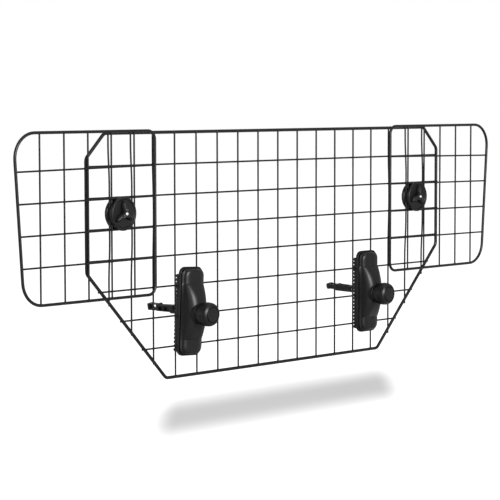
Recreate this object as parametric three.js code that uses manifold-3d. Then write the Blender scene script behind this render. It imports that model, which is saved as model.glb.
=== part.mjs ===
// Car dog guard: a wide welded mesh panel, two sliding side panels clamped on by disc clamps,
// and two brackets with hooks that pull the guard against the headrest posts of a car seat.
// Millimetres, +X across the car, +Y towards the headrests, +Z up.
// The origin is midway between the throats of the two hooks.

import * as THREE from 'three';
import { mergeVertices } from 'three/addons/utils/BufferGeometryUtils.js';
import Module from 'manifold-3d';

// Clearances shared by the whole guard
const seatGap = 0.3;
const cutOverrun = 1;

// Main panel, measured to the centre-lines of its rods, from the middle wire outwards
const rodRadius = 2.5;
const wireRadius = 1.0;
const wireLayerStep = 1.5;
const mainWireSetback = 1.7;
const mainPitch = 50;
const mainColumns = 17;
const mainEdgeColumns = 2;
const mainEdgeInset = 1.2;
const mainRows = 7;
const mainHalfWidth = 443.4;
const mainTop = 202;
const mainBottom = -201.5;
const topChamferWidth = 39;
const topChamferHeight = 39;
const bottomChamferWidth = 173;
const bottomChamferHeight = 182.5;
const mainBendRadius = 12;

// Side panels, which lie on the front of the main panel
const sideRodSetback = 6.5;
const sideInner = 299.5;
const sideOuterAtTop = 596.2;
const sideTop = 205;
const sideBottom = -60.6;
const sideTaper = 18.4;
const sideInnerBend = 15;
const sideOuterBend = 39;
const sideColumns = 5;
const sideLastColumn = 543.5;
const leftColumnPitch = 49.7;
const rightColumnPitch = 47.8;
const sideRows = 4;
const sideFirstRow = -2.4;
const sideRowPitch = 49.4;

// Disc clamps: one on each side, on an M6 bolt through both meshes
const clampX = 373.5;
const clampZ = 74;
const discRadius = 27.6;
const discEdge = 2.6;
const rearEdge = 0.9;
const discDome = 7.4;
const dishRadius = 23.6;
const dishFloor = 2.9;
const dishRimHeight = 5.3;
const boltRadius = 3;
const boltClearance = 0.5;
const boltEnd = -20.3;
const hexHeadFlats = 10;
const hexHeadHeight = 4;
const hexPocketClearance = 0.3;
const nutThickness = 5;
const lobeReach = 21;
const lobeHub = 7.6;
const lobeCount = 3;
const lobeTipHeight = 4.6;
const gripHubHeight = 8.9;
const gripBore = 4.5;
const leftGripTurn = 4;
const rightGripTurn = -8;

// Headrest brackets: a toothed jaw plate, a hollow housing and a knob on an M6 stud
const leftBracketX = -227.1;
const rightBracketX = 225.5;
const bracketZ = -95;
const bracketLift = 0.7;
const leftBracketLean = 3;
const rightStudTilt = 2.5;
const jawWidth = 52;
const jawHeight = 147;
const jawCorner = 12;
const jawThickness = 5.6;
const jawRise = 2.4;
const toothDepth = 6;
const toothPitch = 6.4;
const toothCount = 20;
const toothWidth = 3.2;
const studHoleRadius = 7;
const screwRise = 53;
const screwRadius = 1.5;
const screwHeadRadius = 3.2;
const screwHeadHeight = 2.2;
const screwLength = 9;
const housingInset = 0.8;
const housingWall = 2.5;
const housingLip = 1.2;
const housingEndHalf = 21;
const housingEndDepth = 7.8;
const housingEndCorner = 7;
const housingCornerShare = 0.75;
const bulgeHalf = 22;
const bulgeDepth = 23.6;
const bulgeHalfHeight = 46.5;
const bulgeStep = 0.9;
const bulgeCorner = 15;
const housingEndRounding = 12;
const bossRadius = 17;
const bossFront = -40.4;
const postRadius = 4;
const knobNeckRadius = 17.4;
const knobFlareHeight = 9;
const knobBarrelRadius = 20;
const knobBarrelEnd = 17.5;
const knobFaceRadius = 14.6;
const knobHeight = 26;
const knobCavityRadius = 8;
const knobWebHeight = 8.4;
const capRadius = 13.2;
const capThickness = 1.8;
const studRadius = 3;
const studClearance = 0.5;
const studBoreClearance = 1.1;
const studThroughNut = 2;
const studInHook = 9;

// Hooks, measured along the arm from the main panel, with the throat on their open side
const hookRoot = 20;
const hookTip = 85.3;
const throatStart = 60.5;
const throatEnd = 76.5;
const throatDepth = 6;
const throatFloor = 2.95;
const armBack = -1.05;
const armFrontAtRoot = 9.95;
const armFrontAtShoulder = 8.45;
const bumpHeight = 10.65;
const bumpLength = 3;
const tongueThickness = 1.2;
const mouthGap = 1.4;
const tipNose = 2.2;
const armHalfAtRoot = 5.3;
const armHalfAtShoulder = 6;
const spineHalf = 4.2;
const headHalf = 5.1;
const armPocketDepth = 2.6;
const armRib = 1.8;
const sleeveRadius = 4.7;
const leftHookTurn = -10;
const rightHookTurn = 82;

// Smoothness of the round shapes
const rodSides = 5;
const wireSides = 6;
const bendSteps = 3;
const wideBendSteps = 6;
const boltSides = 12;
const discSides = 28;
const smallSides = 8;

const wasm = await Module();
wasm.setup();

const degrees = THREE.MathUtils.degToRad;

// Solids: closed meshes for cutting and joining

function toSolid(geometry) {
  const bare = geometry.clone();
  bare.deleteAttribute('normal');
  bare.deleteAttribute('uv');
  const merged = mergeVertices(bare);
  return new wasm.Manifold(new wasm.Mesh({
    numProp: 3,
    vertProperties: new Float32Array(merged.attributes.position.array),
    triVerts: new Uint32Array(merged.index.array),
  }));
}

function toGeometry(solid) {
  const mesh = solid.getMesh();
  const geometry = new THREE.BufferGeometry();
  geometry.setAttribute('position', new THREE.BufferAttribute(new Float32Array(mesh.vertProperties), 3));
  geometry.setIndex(new THREE.BufferAttribute(new Uint32Array(mesh.triVerts), 1));
  return geometry;
}

function joinAll(solids) {
  return solids.reduce((whole, solid) => whole.add(solid));
}

// A body turned about the Y axis from points of radius and place along Y
function turned(points, sides) {
  const outline = points.map(([radius, y]) => new THREE.Vector2(radius, y));
  if (THREE.ShapeUtils.area(outline) < 0) {
    outline.reverse();
  }
  outline.push(outline[0].clone());
  return toSolid(new THREE.LatheGeometry(outline, sides));
}

// A round bar along Y between two places
function roundBar(radius, from, to, sides) {
  const bar = new THREE.CylinderGeometry(radius, radius, to - from, sides);
  bar.translate(0, (from + to) / 2, 0);
  return toSolid(bar);
}

// A hexagonal bar along Y, given by its width across flats
function hexBar(flats, from, to) {
  return roundBar(flats / Math.sqrt(3), from, to, 6);
}

// An outline drawn in X and Z, pushed along Y between two places
function plateAlongY(shape, from, to, curveSegments = smallSides) {
  const plate = new THREE.ExtrudeGeometry(shape, {
    depth: to - from,
    bevelEnabled: false,
    curveSegments,
  });
  plate.rotateX(Math.PI / 2);
  plate.translate(0, to, 0);
  return toSolid(plate);
}

// An outline drawn in Y and Z, pushed along X between two places
function plateAlongX(shape, from, to) {
  const plate = new THREE.ExtrudeGeometry(shape, { depth: to - from, bevelEnabled: false });
  plate.rotateY(Math.PI / 2);
  plate.rotateX(Math.PI / 2);
  plate.translate(from, 0, 0);
  return toSolid(plate);
}

function roundedRectangle(width, height, corner) {
  const right = width / 2;
  const top = height / 2;
  const shape = new THREE.Shape();
  shape.moveTo(corner - right, -top);
  shape.lineTo(right - corner, -top);
  shape.absarc(right - corner, corner - top, corner, -Math.PI / 2, 0);
  shape.lineTo(right, top - corner);
  shape.absarc(right - corner, top - corner, corner, 0, Math.PI / 2);
  shape.lineTo(corner - right, top);
  shape.absarc(corner - right, top - corner, corner, Math.PI / 2, Math.PI);
  shape.lineTo(-right, corner - top);
  shape.absarc(corner - right, corner - top, corner, Math.PI, Math.PI * 1.5);
  return shape;
}

// Bent rods: straight runs joined by arcs, all in one upright plane

class BentRod extends THREE.Curve {
  constructor(stations) {
    super();
    this.stations = stations;
  }

  getUtoTmapping(share) {
    return share;
  }

  getPoint(share) {
    const place = share * (this.stations.length - 1);
    const before = Math.min(Math.floor(place), this.stations.length - 2);
    return this.stations[before].clone().lerp(this.stations[before + 1], place - before);
  }

  getTangent(share) {
    const index = Math.round(share * (this.stations.length - 1));
    const here = this.stations[index];
    const last = this.stations[Math.max(index - 1, 0)];
    const next = this.stations[Math.min(index + 1, this.stations.length - 1)];
    const arriving = here.clone().sub(last).normalize();
    const leaving = next.clone().sub(here).normalize();
    return arriving.add(leaving).normalize();
  }
}

// Stations along a run of corners in X and Z, each corner bent to its own radius
function bentStations(start, corners, end) {
  const stations = [start];
  corners.forEach((corner, index) => {
    const before = index === 0 ? start : corners[index - 1].at;
    const after = index === corners.length - 1 ? end : corners[index + 1].at;
    const arriving = corner.at.clone().sub(before).normalize();
    const leaving = after.clone().sub(corner.at).normalize();
    const turn = arriving.angleTo(leaving);
    const setback = corner.bend * Math.tan(turn / 2);
    const inward = leaving.clone().sub(arriving).normalize();
    const centre = corner.at.clone().addScaledVector(inward, corner.bend / Math.cos(turn / 2));
    const first = corner.at.clone().addScaledVector(arriving, -setback).sub(centre);
    const axis = arriving.clone().cross(leaving).normalize();
    for (let step = 0; step <= corner.steps; step += 1) {
      stations.push(first.clone().applyAxisAngle(axis, turn * step / corner.steps).add(centre));
    }
  });
  stations.push(end);
  return stations;
}

function bentRod(stations, radius) {
  const section = new THREE.Shape();
  section.absarc(0, 0, radius, 0, Math.PI * 2);
  return toSolid(new THREE.ExtrudeGeometry(section, {
    steps: stations.length - 1,
    bevelEnabled: false,
    curveSegments: rodSides,
    extrudePath: new BentRod(stations),
  }));
}

// A flat piece of mesh: upright wires in one layer, level wires in the next, cut clear of its frame
function wireMesh(uprights, levels, uprightY, levelY, frameStations) {
  const solids = [];
  for (const { x, bottom, top } of uprights) {
    const wire = new THREE.CylinderGeometry(
      wireRadius, wireRadius, top - bottom, wireSides, 1, false, Math.PI / wireSides,
    );
    wire.rotateX(Math.PI / 2);
    wire.translate(x, uprightY, (top + bottom) / 2);
    solids.push(toSolid(wire));
  }
  for (const { z, left, right } of levels) {
    const wire = new THREE.CylinderGeometry(wireRadius, wireRadius, right - left, wireSides);
    wire.rotateZ(Math.PI / 2);
    wire.translate((left + right) / 2, levelY, z);
    solids.push(toSolid(wire));
  }
  return joinAll(solids).subtract(bentRod(frameStations, rodRadius + seatGap));
}

const black = { color: 0x2b2b2c, roughness: 0.42, metalness: 0.1 };
const plastic = { color: 0x2c2c2d, roughness: 0.5, metalness: 0 };
const zinc = { color: 0xc9ccce, roughness: 0.3, metalness: 1 };

function piece(name, solid, finish) {
  const mesh = new THREE.Mesh(toGeometry(solid), new THREE.MeshStandardMaterial(finish));
  mesh.name = name;
  return mesh;
}

const corner = (x, z, bend, steps) => ({ at: new THREE.Vector3(x, 0, z), bend, steps });

// Main frame: one rod bent round to a butt joint at the middle of the bottom run

const chamferLow = mainBottom + bottomChamferHeight;
const chamferHigh = mainTop - topChamferHeight;
const bottomRunEnd = mainHalfWidth - bottomChamferWidth;
const topRunEnd = mainHalfWidth - topChamferWidth;

const mainStations = bentStations(
  new THREE.Vector3(seatGap / 2, 0, mainBottom),
  [
    corner(bottomRunEnd, mainBottom, mainBendRadius, bendSteps),
    corner(mainHalfWidth, chamferLow, mainBendRadius, bendSteps),
    corner(mainHalfWidth, chamferHigh, mainBendRadius, bendSteps),
    corner(topRunEnd, mainTop, mainBendRadius, bendSteps),
    corner(-topRunEnd, mainTop, mainBendRadius, bendSteps),
    corner(-mainHalfWidth, chamferHigh, mainBendRadius, bendSteps),
    corner(-mainHalfWidth, chamferLow, mainBendRadius, bendSteps),
    corner(-bottomRunEnd, mainBottom, mainBendRadius, bendSteps),
  ],
  new THREE.Vector3(-seatGap / 2, 0, mainBottom),
);

function slopedEdge(place, flatEnd, farEnd, flatValue, farValue) {
  const share = THREE.MathUtils.clamp((Math.abs(place) - flatEnd) / (farEnd - flatEnd), 0, 1);
  return THREE.MathUtils.lerp(flatValue, farValue, share);
}

function mainPanel() {
  const uprights = [];
  for (let column = 0; column < mainColumns; column += 1) {
    const place = column - (mainColumns - 1) / 2;
    const edge = Math.max(Math.abs(place) - (mainColumns - 1) / 2 + mainEdgeColumns, 0);
    const x = place * mainPitch - Math.sign(place) * edge * mainEdgeInset;
    uprights.push({
      x,
      bottom: slopedEdge(x, bottomRunEnd, mainHalfWidth, mainBottom, chamferLow),
      top: slopedEdge(x, topRunEnd, mainHalfWidth, mainTop, chamferHigh),
    });
  }
  const levels = [];
  for (let row = 0; row < mainRows; row += 1) {
    const z = (row - (mainRows - 1) / 2) * mainPitch;
    const half = z < chamferLow
      ? slopedEdge(chamferLow - z, 0, bottomChamferHeight, mainHalfWidth, bottomRunEnd)
      : mainHalfWidth;
    levels.push({ z, left: -half, right: half });
  }
  const grid = wireMesh(uprights, levels, -mainWireSetback, wireLayerStep - mainWireSetback, mainStations);
  return [
    piece('main_frame', bentRod(mainStations, rodRadius), black),
    piece('main_mesh', grid, black),
  ];
}

// Side panels: the same panel on both sides, the left one a mirror image of the right one

function sidePanel(name, side, columnPitch) {
  const sideOuterAtBottom = sideOuterAtTop - sideTaper;
  const jointX = side * (sideInner + sideOuterAtBottom) / 2;
  const round = [
    corner(side * sideOuterAtBottom, sideBottom, sideOuterBend, wideBendSteps),
    corner(side * sideOuterAtTop, sideTop, sideOuterBend, wideBendSteps),
    corner(side * sideInner, sideTop, sideInnerBend, bendSteps),
    corner(side * sideInner, sideBottom, sideInnerBend, bendSteps),
  ];
  const stations = bentStations(
    new THREE.Vector3(jointX + side * seatGap / 2, 0, sideBottom),
    round,
    new THREE.Vector3(jointX - side * seatGap / 2, 0, sideBottom),
  );
  const uprights = [];
  for (let column = 0; column < sideColumns; column += 1) {
    const x = side * (sideLastColumn - column * columnPitch);
    uprights.push({ x, bottom: sideBottom, top: sideTop });
  }
  const levels = [];
  for (let row = 0; row < sideRows; row += 1) {
    const z = sideFirstRow + row * sideRowPitch;
    const share = (z - sideBottom) / (sideTop - sideBottom);
    const outer = side * (sideOuterAtBottom + sideTaper * share);
    const inner = side * sideInner;
    levels.push({ z, left: Math.min(inner, outer), right: Math.max(inner, outer) });
  }
  const uprightY = wireLayerStep * 0.5;
  const grid = wireMesh(uprights, levels, uprightY, uprightY - wireLayerStep, stations);
  const frame = piece(`${name}_side_frame`, bentRod(stations, rodRadius), black);
  const mesh = piece(`${name}_side_mesh`, grid, black);
  frame.position.y = -sideRodSetback;
  mesh.position.y = -sideRodSetback;
  return [frame, mesh];
}

// Disc clamps: a rear disc that carries the bolt, a dished front disc, and a three-lobed grip with a nut

const rearFace = wireLayerStep - mainWireSetback + wireRadius + seatGap;
const frontFace = -(sideRodSetback + wireLayerStep / 2 + wireRadius + seatGap);
const boltSeat = rearFace + discDome - hexHeadHeight;
const dishFace = frontFace - dishFloor;
const gripBack = dishFace - seatGap;
const gripFront = gripBack - gripHubHeight;
const nutBack = gripBack - seatGap;
const nutFront = nutBack - nutThickness;

function clampRearDisc() {
  const bore = boltRadius + boltClearance;
  const body = turned([
    [bore, rearFace],
    [discRadius, rearFace],
    [discRadius, rearFace + rearEdge],
    [discRadius * 0.93, rearFace + discDome * 0.5],
    [discRadius * 0.76, rearFace + discDome * 0.86],
    [discRadius / 2, rearFace + discDome],
    [bore, rearFace + discDome],
  ], discSides);
  const pocketFlats = hexHeadFlats + 2 * hexPocketClearance;
  return body.subtract(hexBar(pocketFlats, boltSeat - seatGap, rearFace + discDome + cutOverrun));
}

function clampBolt() {
  const head = hexBar(hexHeadFlats, boltSeat, boltSeat + hexHeadHeight);
  return head.add(roundBar(boltRadius, boltEnd, boltSeat + cutOverrun, boltSides));
}

function clampFrontDisc() {
  const bore = boltRadius + boltClearance;
  const rimFace = frontFace - dishRimHeight;
  return turned([
    [bore, frontFace],
    [discRadius, frontFace],
    [discRadius, frontFace - discEdge],
    [discRadius - discEdge * 0.35, rimFace + discEdge * 0.25],
    [(discRadius + dishRadius) / 2, rimFace],
    [dishRadius, rimFace + discEdge * 0.25],
    [dishRadius - discEdge * 0.5, dishFace],
    [bore, dishFace],
  ], discSides);
}

function clampGrip(turn) {
  const outline = new THREE.Shape();
  const points = [];
  const steps = lobeCount * 16;
  for (let step = 0; step < steps; step += 1) {
    const angle = step / steps * Math.PI * 2;
    const rise = ((1 + Math.cos(lobeCount * angle)) / 2) ** 2;
    const radius = lobeHub + (lobeReach - lobeHub) * rise;
    const turnedAngle = angle + Math.PI / 2 + degrees(turn);
    points.push(new THREE.Vector2(Math.cos(turnedAngle) * radius, Math.sin(turnedAngle) * radius));
  }
  outline.setFromPoints(points);
  const lobes = plateAlongY(outline, gripFront, gripBack);
  const slope = turned([
    [0, gripFront],
    [lobeHub, gripFront],
    [lobeReach + cutOverrun, gripBack - lobeTipHeight],
    [lobeReach + cutOverrun, gripBack],
    [0, gripBack],
  ], discSides);
  const pocketFlats = hexHeadFlats + 2 * hexPocketClearance;
  return lobes
    .intersect(slope)
    .subtract(hexBar(pocketFlats, nutFront - seatGap, gripBack + cutOverrun))
    .subtract(roundBar(gripBore, gripFront - cutOverrun, nutFront, boltSides));
}

function hexNut(radius, back, front) {
  const bore = radius + boltClearance;
  return hexBar(hexHeadFlats, front, back)
    .subtract(roundBar(bore, front - cutOverrun, back + cutOverrun, boltSides));
}

function discClamp(name, side, turn) {
  const clamp = new THREE.Group();
  clamp.position.set(side * clampX, 0, clampZ);
  clamp.add(
    piece(`${name}_clamp_rear_disc`, clampRearDisc(), plastic),
    piece(`${name}_clamp_bolt`, clampBolt(), zinc),
    piece(`${name}_clamp_front_disc`, clampFrontDisc(), plastic),
    piece(`${name}_clamp_grip`, clampGrip(turn), plastic),
    piece(`${name}_clamp_nut`, hexNut(boltRadius, nutBack, nutFront), zinc),
  );
  return clamp;
}

// Headrest brackets, drawn about the axis of their stud

const toothTip = -(mainWireSetback + wireRadius + seatGap);
const toothRoot = toothTip - toothDepth;
const jawFront = toothRoot - jawThickness;
const housingBack = jawFront - seatGap;
const housingStart = housingBack - housingLip;
const knobBack = bossFront - seatGap;
const knobFront = knobBack - knobHeight;
const knobNutBack = knobBack - seatGap;
const knobNutFront = knobNutBack - nutThickness;
const capBack = knobFront + capThickness + seatGap;

function jawPlate() {
  const plate = plateAlongY(roundedRectangle(jawWidth, jawHeight, jawCorner), jawFront, toothRoot, 4);
  const teeth = new THREE.Shape();
  const rowHalf = toothCount * toothPitch / 2;
  const outline = [new THREE.Vector2(toothRoot - cutOverrun, -rowHalf)];
  for (let tooth = 0; tooth < toothCount; tooth += 1) {
    const low = tooth * toothPitch - rowHalf;
    outline.push(new THREE.Vector2(toothRoot, low));
    outline.push(new THREE.Vector2(toothTip, low + toothPitch / 2));
  }
  outline.push(new THREE.Vector2(toothRoot, rowHalf));
  outline.push(new THREE.Vector2(toothRoot - cutOverrun, rowHalf));
  teeth.setFromPoints(outline);
  const edge = jawWidth / 2;
  const rightRow = plateAlongX(teeth, edge - toothWidth, edge);
  const leftRow = plateAlongX(teeth, -edge, toothWidth - edge);
  let body = plate.translate([0, 0, jawRise]).add(rightRow).add(leftRow);
  body = body.subtract(roundBar(studHoleRadius, jawFront - cutOverrun, toothTip, smallSides * 2));
  for (const up of [-1, 1]) {
    const place = [0, 0, jawRise + up * screwRise];
    const shank = roundBar(screwRadius + seatGap, jawFront - cutOverrun, toothTip, smallSides);
    const headSeat = toothRoot - screwHeadHeight - seatGap;
    const recess = roundBar(screwHeadRadius + seatGap, headSeat, toothTip, boltSides);
    body = body.subtract(shank.translate(place)).subtract(recess.translate(place));
  }
  return body;
}

// The section of the housing at a height: its half width at the back and at the front, its depth
// and the radius of its long front edges
function housingSection(z) {
  const fromMiddle = Math.abs(z - jawRise);
  const backHalf = jawWidth / 2 - housingInset;
  let depth = housingEndDepth;
  let frontHalf = housingEndHalf;
  let cornerRadius = housingEndCorner;
  if (fromMiddle < bulgeHalfHeight) {
    const extra = bulgeDepth - housingEndDepth - bulgeStep;
    const arcRadius = (bulgeHalfHeight ** 2 + extra ** 2) / (2 * extra);
    const swell = Math.sqrt(arcRadius ** 2 - fromMiddle ** 2) - (arcRadius - extra);
    depth += bulgeStep + swell;
    frontHalf = THREE.MathUtils.lerp(housingEndHalf, bulgeHalf, swell / extra);
    cornerRadius = THREE.MathUtils.lerp(housingEndCorner, bulgeCorner, swell / extra);
  }
  const fromEnd = jawHeight / 2 - housingInset - fromMiddle;
  const short = Math.max(housingEndRounding - fromEnd, 0);
  const drop = housingEndRounding - Math.sqrt(housingEndRounding ** 2 - short ** 2);
  return {
    backHalf: backHalf - drop,
    frontHalf: frontHalf - drop,
    depth: depth - drop * 0.5,
    cornerRadius,
  };
}

// The long body of the housing: one rounded section after another, up the height
function housingBody(heights, inset, back) {
  const arcSteps = 5;
  const sectionSides = 2 * (arcSteps + 1) + 2;
  const body = new THREE.CylinderGeometry(1, 1, 1, sectionSides, heights.length - 1);
  const places = body.attributes.position;
  for (let index = 0; index < places.count; index += 1) {
    const ring = Math.round((0.5 - places.getY(index)) * (heights.length - 1));
    const z = heights[ring];
    const section = housingSection(z);
    const backHalf = section.backHalf - inset;
    const frontHalf = section.frontHalf - inset;
    const frontY = housingStart - section.depth + inset;
    const radial = Math.hypot(places.getX(index), places.getZ(index));
    if (radial < 0.5) {
      places.setXYZ(index, 0, (back + frontY) / 2, z);
      continue;
    }
    const turn = Math.atan2(places.getX(index), places.getZ(index));
    const side = (Math.round(turn / (Math.PI * 2) * sectionSides) + sectionSides) % sectionSides;
    const deepest = (housingStart - frontY) * housingCornerShare;
    const radius = Math.min(Math.max(section.cornerRadius - inset, 1), frontHalf, deepest);
    if (side === 0) {
      places.setXYZ(index, -backHalf, back, z);
    } else if (side === sectionSides - 1) {
      places.setXYZ(index, backHalf, back, z);
    } else if (side <= arcSteps + 1) {
      const angle = (side - 1) / arcSteps * Math.PI / 2;
      const x = radius - frontHalf - radius * Math.cos(angle);
      places.setXYZ(index, x, frontY + radius - radius * Math.sin(angle), z);
    } else {
      const angle = (side - arcSteps - 2) / arcSteps * Math.PI / 2;
      const x = frontHalf - radius + radius * Math.sin(angle);
      places.setXYZ(index, x, frontY + radius - radius * Math.cos(angle), z);
    }
  }
  return toSolid(body);
}

function housing() {
  const low = jawRise - jawHeight / 2 + housingInset;
  const high = jawRise + jawHeight / 2 - housingInset;
  const roundingShares = [0.02, 0.15, 0.45, 1];
  const endRise = roundingShares.map((share) => share * housingEndRounding);
  const bulgeShares = [1, 0.975, 0.72, 0.4, 0, -0.4, -0.72, -0.975, -1];
  const bulgeHeights = bulgeShares.map((share) => jawRise + share * bulgeHalfHeight);
  const outerHeights = [
    ...endRise.map((rise) => high - rise),
    ...bulgeHeights,
    ...endRise.map((rise) => low + rise).reverse(),
  ];
  const innerHeights = [
    high - housingEndRounding / 2,
    high - housingEndRounding,
    ...bulgeHeights,
    low + housingEndRounding,
    low + housingEndRounding / 2,
  ];
  const lip = housingBody(outerHeights.slice(1, -1), housingLip, housingBack);
  const boss = roundBar(bossRadius, bossFront, housingStart - housingWall, discSides);
  const hollow = housingBody(innerHeights, housingWall, housingBack + cutOverrun);
  let body = housingBody(outerHeights, 0, housingStart).add(lip).add(boss).subtract(hollow);
  for (const up of [-1, 1]) {
    const place = [0, 0, jawRise + up * screwRise];
    const front = housingStart - housingEndDepth + housingWall / 2;
    body = body.add(roundBar(postRadius, front, housingBack, boltSides).translate(place));
    const pilotEnd = toothRoot - screwHeadHeight - screwLength - seatGap;
    const pilot = roundBar(screwRadius + seatGap, pilotEnd, housingBack + cutOverrun, smallSides);
    body = body.subtract(pilot.translate(place));
  }
  return body.subtract(roundBar(studRadius + studBoreClearance, bossFront - cutOverrun, 0, boltSides));
}

function housingScrew() {
  const headBack = toothRoot - cutOverrun * 0.2;
  const headFront = toothRoot - screwHeadHeight;
  const head = roundBar(screwHeadRadius, headFront, headBack, boltSides);
  return head.add(roundBar(screwRadius, headFront - screwLength + seatGap, headFront + cutOverrun, smallSides));
}

function bracketKnob() {
  const bore = studRadius + studClearance;
  const shoulder = knobBack - knobBarrelEnd;
  const rounding = shoulder - knobFront;
  const body = turned([
    [bore, knobBack],
    [knobNeckRadius, knobBack],
    [knobBarrelRadius, knobBack - knobFlareHeight],
    [knobBarrelRadius, shoulder],
    [THREE.MathUtils.lerp(knobFaceRadius, knobBarrelRadius, 0.82), shoulder - rounding * 0.42],
    [THREE.MathUtils.lerp(knobFaceRadius, knobBarrelRadius, 0.5), shoulder - rounding * 0.76],
    [knobFaceRadius, knobFront],
    [capRadius + seatGap, knobFront],
    [capRadius + seatGap, capBack],
    [knobCavityRadius, capBack],
    [knobCavityRadius, knobBack - knobWebHeight],
    [bore, knobBack - knobWebHeight],
  ], discSides);
  const pocketFlats = hexHeadFlats + 2 * hexPocketClearance;
  return body.subtract(hexBar(pocketFlats, knobNutFront - seatGap, knobBack + cutOverrun));
}

function knobCap() {
  return roundBar(capRadius, knobFront, knobFront + capThickness, discSides);
}

function stud() {
  return roundBar(studRadius, knobNutFront - studThroughNut, hookRoot + studInHook, boltSides);
}

// The hook: its side view cut out of a plate, then thinned to its plan view
function hook() {
  const headFront = throatFloor + throatDepth + tongueThickness;
  const bumpStart = throatStart - bumpLength;
  const tongueEnd = throatStart + mouthGap;
  const sideView = new THREE.Shape([
    [hookRoot, armBack],
    [hookTip - tipNose * 2, armBack],
    [hookTip, armBack + tipNose],
    [hookTip, headFront - tipNose * 2],
    [hookTip - tipNose * 1.5, headFront],
    [tongueEnd, headFront],
    [tongueEnd, headFront - tongueThickness],
    [throatEnd, headFront - tongueThickness],
    [throatEnd, throatFloor],
    [throatStart, throatFloor],
    [throatStart, bumpHeight],
    [bumpStart, bumpHeight],
    [bumpStart - bumpLength, armFrontAtShoulder],
    [hookRoot, armFrontAtRoot],
  ].map(([y, z]) => new THREE.Vector2(y, z)));
  const shoulderStart = throatStart - bumpLength;
  const planHalf = [
    [hookRoot, armHalfAtRoot],
    [shoulderStart, armHalfAtShoulder],
    [throatStart, armHalfAtShoulder],
    [throatStart + tipNose, spineHalf],
    [throatEnd - tipNose, spineHalf],
    [throatEnd, headHalf],
    [hookTip - tipNose * 1.5, headHalf],
    [hookTip, headHalf - tipNose * 1.5],
  ];
  const mirrored = planHalf.map(([y, x]) => [y, -x]).reverse();
  const planView = new THREE.Shape([...planHalf, ...mirrored].map(([y, x]) => new THREE.Vector2(x, y)));
  const plan = new THREE.ExtrudeGeometry(planView, { depth: bumpHeight - armBack, bevelEnabled: false });
  plan.translate(0, 0, armBack);
  let body = plateAlongX(sideView, -armHalfAtShoulder, armHalfAtShoulder).intersect(toSolid(plan));
  const pocketFrom = hookRoot + studInHook + armRib;
  const pocketTo = bumpStart - bumpLength;
  const pocketLength = (pocketTo - pocketFrom - armRib) / 2;
  const pocketLow = armBack + armRib;
  const pocketHigh = armFrontAtShoulder - armRib;
  for (const across of [-1, 1]) {
    for (const start of [pocketFrom, pocketFrom + pocketLength + armRib]) {
      const pocket = new THREE.BoxGeometry(
        armPocketDepth + armHalfAtShoulder, pocketLength, pocketHigh - pocketLow,
      );
      const outward = armHalfAtRoot - armPocketDepth + (armPocketDepth + armHalfAtShoulder) / 2;
      pocket.translate(across * outward, start + pocketLength / 2, (pocketHigh + pocketLow) / 2);
      body = body.subtract(toSolid(pocket));
    }
  }
  const socketEnd = hookRoot + studInHook + seatGap;
  return body
    .add(roundBar(sleeveRadius, hookRoot, socketEnd + armRib, boltSides))
    .subtract(roundBar(studRadius + seatGap, hookRoot - cutOverrun, socketEnd, boltSides));
}

function headrestBracket(name, x, lift, lean, studTilt, hookTurn) {
  const bracket = new THREE.Group();
  bracket.position.set(x, 0, bracketZ + lift);
  bracket.rotation.y = degrees(lean);
  bracket.add(
    piece(`${name}_jaw_plate`, jawPlate(), plastic),
    piece(`${name}_housing`, housing(), plastic),
    piece(`${name}_knob`, bracketKnob(), plastic),
    piece(`${name}_knob_cap`, knobCap(), plastic),
    piece(`${name}_knob_nut`, hexNut(studRadius, knobNutBack, knobNutFront), zinc),
  );
  for (const [word, up] of [['lower', -1], ['upper', 1]]) {
    const screw = piece(`${name}_${word}_screw`, housingScrew(), zinc);
    screw.position.z = jawRise + up * screwRise;
    bracket.add(screw);
  }
  const loose = new THREE.Group();
  const pivotY = (knobNutBack + knobNutFront) / 2;
  loose.position.y = pivotY;
  loose.rotation.x = degrees(studTilt);
  const rod = piece(`${name}_stud`, stud(), zinc);
  const arm = piece(`${name}_hook`, hook(), plastic);
  rod.position.y = -pivotY;
  arm.position.y = -pivotY;
  arm.rotation.y = degrees(hookTurn - lean);
  loose.add(rod, arm);
  bracket.add(loose);
  return bracket;
}

// The whole guard, moved so that the origin lies midway between the hook throats

const guard = new THREE.Group();
guard.position.set(0, -(throatStart + throatEnd) / 2, -bracketZ);
guard.add(
  ...mainPanel(),
  ...sidePanel('left', -1, leftColumnPitch),
  ...sidePanel('right', 1, rightColumnPitch),
  discClamp('left', -1, leftGripTurn),
  discClamp('right', 1, rightGripTurn),
  headrestBracket('left', leftBracketX, -bracketLift, leftBracketLean, 0, leftHookTurn),
  headrestBracket('right', rightBracketX, bracketLift, 0, rightStudTilt, rightHookTurn),
);

export default guard;
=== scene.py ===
import math

import bmesh
import bpy
from mathutils import Matrix, Vector


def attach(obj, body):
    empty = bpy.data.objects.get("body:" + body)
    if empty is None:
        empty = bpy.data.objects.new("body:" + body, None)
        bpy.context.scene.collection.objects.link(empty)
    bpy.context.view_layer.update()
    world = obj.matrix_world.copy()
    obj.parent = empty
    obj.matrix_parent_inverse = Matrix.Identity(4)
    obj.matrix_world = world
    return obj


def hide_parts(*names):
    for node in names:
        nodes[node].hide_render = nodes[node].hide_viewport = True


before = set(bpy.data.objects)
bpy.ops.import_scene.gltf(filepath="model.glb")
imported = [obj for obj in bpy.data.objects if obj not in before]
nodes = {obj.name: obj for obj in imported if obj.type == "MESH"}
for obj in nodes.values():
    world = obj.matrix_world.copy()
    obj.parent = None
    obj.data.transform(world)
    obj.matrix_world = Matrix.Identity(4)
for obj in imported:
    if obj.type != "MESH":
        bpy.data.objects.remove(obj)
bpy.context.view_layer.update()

# Camera
# The camera looks down a little on the guard from its left front, through a long lens.
# It is level but for a tenth of a degree, and its frame is square.
mm = 0.001
camera_place = Vector((-2572.1, -2428.2, 353.6)) * mm
camera_yaw = 0.815206
camera_pitch = 0.0757802
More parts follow.
